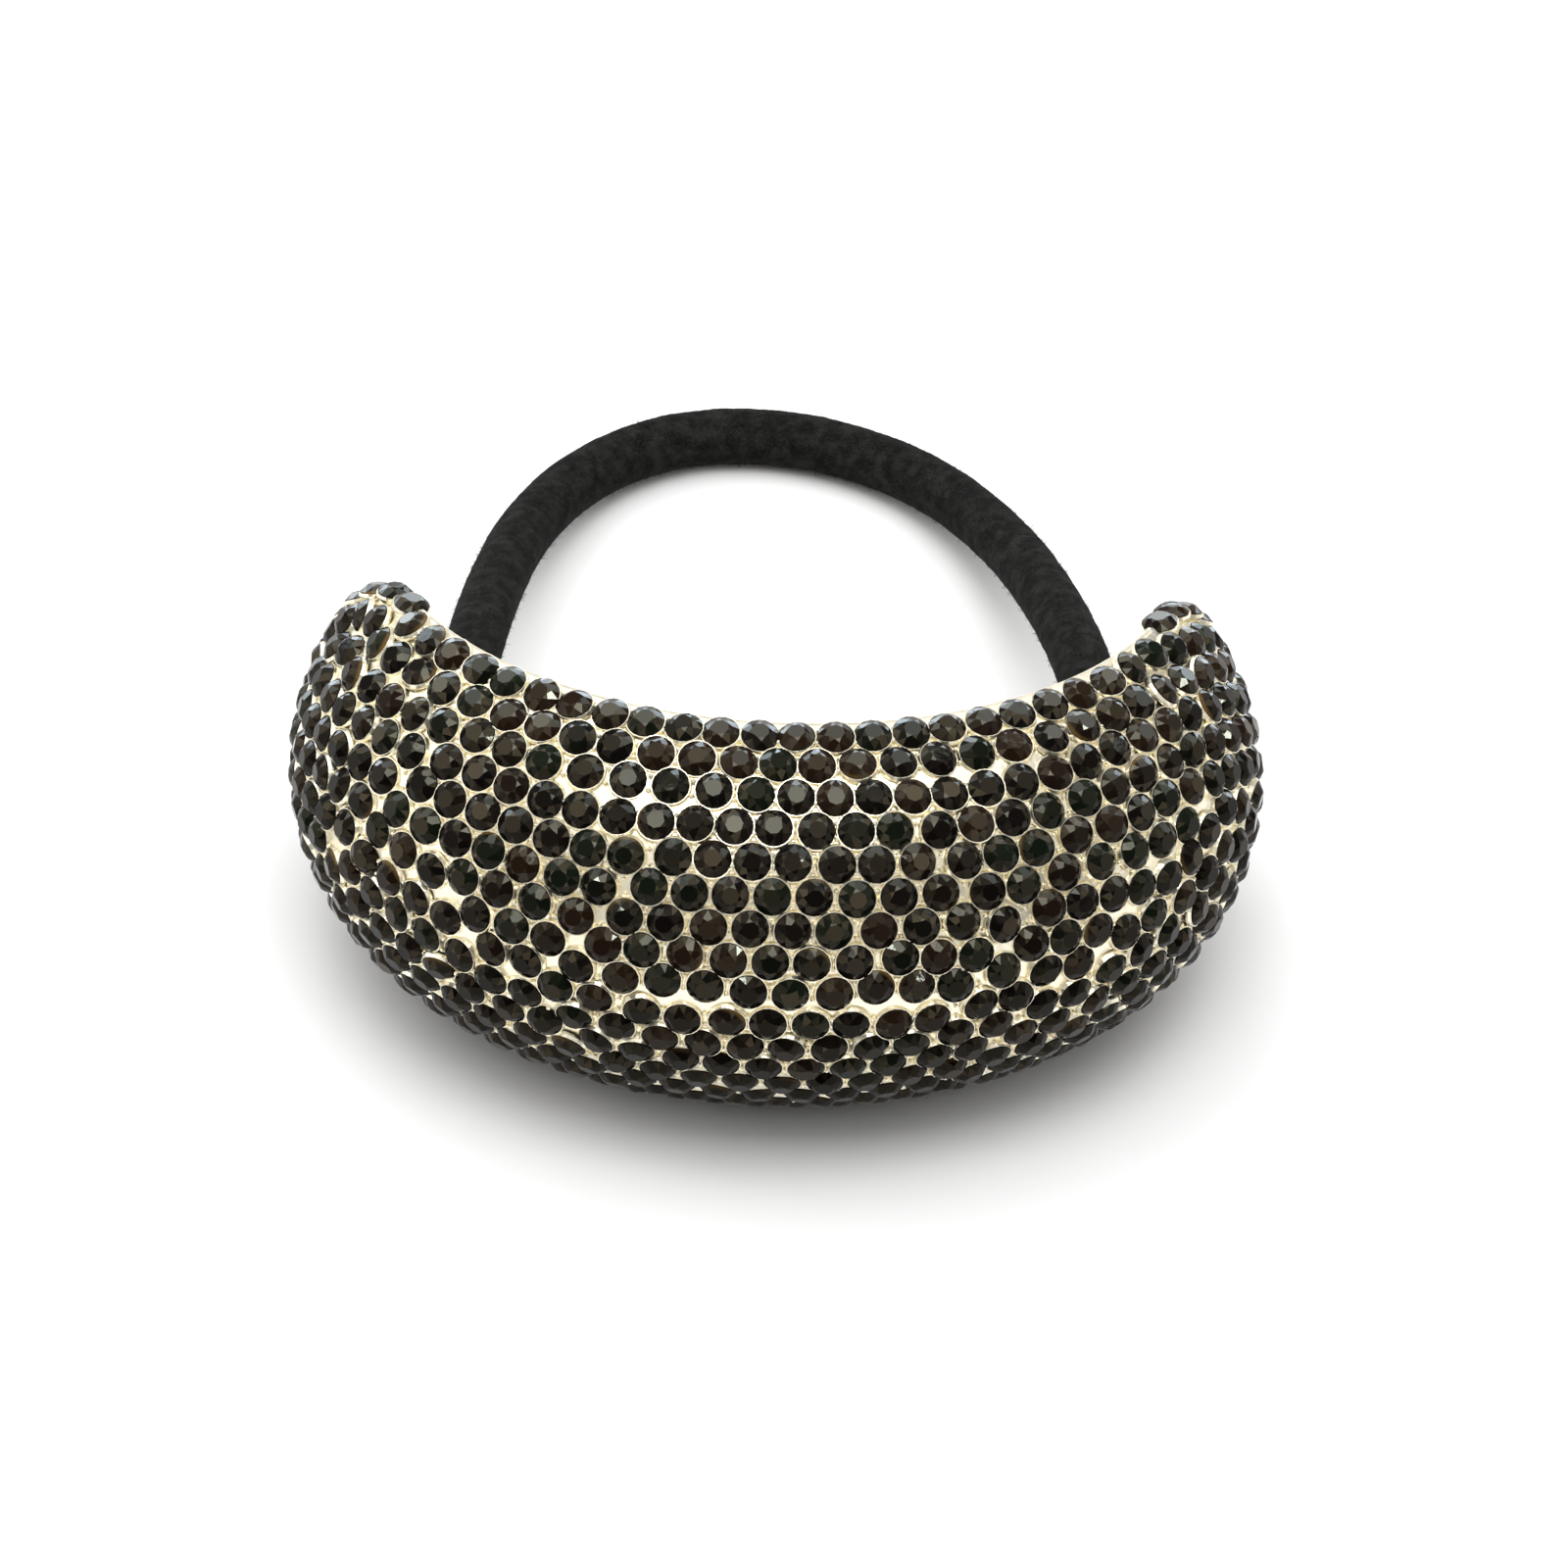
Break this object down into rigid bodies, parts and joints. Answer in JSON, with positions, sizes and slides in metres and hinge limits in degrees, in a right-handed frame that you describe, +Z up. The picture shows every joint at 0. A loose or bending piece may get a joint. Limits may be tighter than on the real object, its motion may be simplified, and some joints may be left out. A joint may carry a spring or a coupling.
{
  "type": "hair cuff",
  "caption": "Crescent metal hair cuff paved with black cut stones, with an elastic cord loop behind that holds it round a ponytail.",
  "frame": {"origin": "on the table that the cuff lies on, under the middle of the box round the metal and stones", "axes": "+X across the cuff to its right end, +Y to the back, where the cord is, +Z up, the way the hair passes through"},
  "size_m": [0.0672, 0.0793, 0.0309],
  "materials": {
    "gold_metal": "pale gold plating, polished",
    "black_stone": "faceted, polished",
    "elastic_fabric": "knitted, matte"
  },
  "bodies": {
    "root": {"cuff_shell": "gold_metal", "stones": "black_stone", "elastic_cord": "elastic_fabric"}
  },
  "joints": []
}
